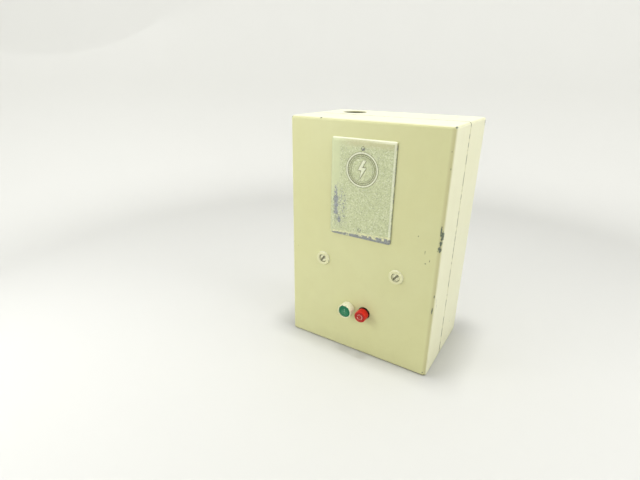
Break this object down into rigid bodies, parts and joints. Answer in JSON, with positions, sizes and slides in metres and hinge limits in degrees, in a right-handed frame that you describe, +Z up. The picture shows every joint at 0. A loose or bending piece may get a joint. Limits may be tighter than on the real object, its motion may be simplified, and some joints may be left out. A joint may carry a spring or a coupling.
{
  "type": "magnetic motor starter",
  "caption": "Wall-mounted sheet-steel box with lift-off cover, start and stop push buttons, and an open contactor with overload relay inside.",
  "frame": {"origin": "bottom centre of the whole object's bounding box, buttons included", "axes": "+X to the right and +Z up as the cover is faced, +Y back towards the wall"},
  "size_m": [0.22, 0.1536, 0.332],
  "materials": {
    "cream_paint": "aged cream enamel on sheet steel, chipped at edges",
    "nameplate_paint": "worn grey-green enamel, bare metal along the lower edge",
    "green_cap": "semi-gloss moulded plastic",
    "red_cap": "semi-gloss moulded plastic",
    "zinc_steel": "zinc-plated steel, dulled",
    "screw_steel": "nickel-plated steel, aged",
    "black_phenolic": "compression-moulded phenolic",
    "brown_phenolic": "compression-moulded phenolic",
    "white_melamine": "moulded arc-resistant plastic",
    "contact_brass": "tarnished brass strip",
    "copper_strap": "tin-streaked copper strap",
    "core_steel": "stacked laminations, light oil",
    "coil_tape": "varnished winding tape",
    "nylon": "moulded nylon",
    "spring_wire": "music wire",
    "ground_green": "green-dyed zinc plate",
    "heater_alloy": "heat-tinted alloy"
  },
  "bodies": {
    "enclosure": {"back_box": "cream_paint", "cover_posts": "zinc_steel", "panel_studs": "zinc_steel", "panel_nuts": "zinc_steel", "mounting_plate": "zinc_steel", "contactor_base": "black_phenolic", "contactor_screws": "zinc_steel", "line_contacts": "copper_strap", "line_terminal_screws": "zinc_steel", "load_straps": "copper_strap", "magnet_yoke": "core_steel", "yoke_bracket": "zinc_steel", "yoke_bracket_screws": "zinc_steel", "coil_bobbin": "nylon", "coil_winding": "coil_tape", "coil_terminals": "zinc_steel", "arc_cover": "white_melamine", "arc_cover_screws": "zinc_steel", "auxiliary_block": "brown_phenolic", "auxiliary_screws": "zinc_steel", "overload_relay": "black_phenolic", "relay_screws": "zinc_steel", "load_terminals": "copper_strap", "load_terminal_screws": "zinc_steel", "heater_elements": "heater_alloy", "heater_screws": "zinc_steel", "reset_spring": "spring_wire", "ground_lug": "contact_brass", "ground_screw": "ground_green"},
    "cover": {"cover": "cream_paint", "nameplate": "nameplate_paint", "nameplate_rivets": "screw_steel", "screw_collar_left": "cream_paint", "screw_collar_right": "cream_paint", "start_guard": "cream_paint", "button_bracket": "zinc_steel", "button_block": "black_phenolic", "button_block_screws": "zinc_steel", "button_contacts": "contact_brass", "button_terminal_screws": "zinc_steel", "start_spring": "spring_wire", "stop_spring": "spring_wire"},
    "left_screw": {"cover_screw_left": "screw_steel", "screw_retainer_left": "zinc_steel"},
    "right_screw": {"cover_screw_right": "screw_steel", "screw_retainer_right": "zinc_steel"},
    "start": {"start_button": "green_cap", "start_plunger": "nylon", "start_bridge": "contact_brass"},
    "stop": {"stop_button": "red_cap", "stop_plunger": "nylon", "stop_bridge": "contact_brass"},
    "carrier": {"contact_carrier": "brown_phenolic", "armature": "core_steel", "armature_rivets": "zinc_steel", "movable_contacts": "copper_strap", "contact_springs": "spring_wire", "auxiliary_plunger": "nylon"},
    "reset": {"reset_plunger": "nylon", "reset_clip": "spring_wire"}
  },
  "joints": [
    {"name": "cover_lift", "type": "slide", "parent": "enclosure", "child": "cover", "axis": [0, -1, 0], "range_m": [0, 0.16]},
    {"name": "left_screw_turn", "type": "hinge", "parent": "cover", "child": "left_screw", "pos_m": [-0.0558, -0.055, 0.1373], "axis": [0, -1, 0], "continuous": true},
    {"name": "right_screw_turn", "type": "hinge", "parent": "cover", "child": "right_screw", "pos_m": [0.0558, -0.055, 0.1373], "axis": [0, -1, 0], "continuous": true},
    {"name": "start_press", "type": "slide", "parent": "cover", "child": "start", "axis": [0, 1, 0], "range_m": [0, 0.0045], "stiffness_N_per_m": 500, "springref_m": -0.004, "deforming": ["start_spring"]},
    {"name": "stop_press", "type": "slide", "parent": "cover", "child": "stop", "axis": [0, 1, 0], "range_m": [0, 0.0045], "stiffness_N_per_m": 500, "springref_m": -0.004, "deforming": ["stop_spring"]},
    {"name": "carrier_rise", "type": "slide", "parent": "enclosure", "child": "carrier", "axis": [0, 0, 1], "range_m": [0, 0.006]},
    {"name": "reset_press", "type": "slide", "parent": "enclosure", "child": "reset", "axis": [0, 1, 0], "range_m": [0, 0.0045], "stiffness_N_per_m": 150, "springref_m": -0.004, "deforming": ["reset_spring"]}
  ],
  "couplings": [
    {"joint": "reset_press", "follows": "stop_press", "ratio": 1}
  ]
}
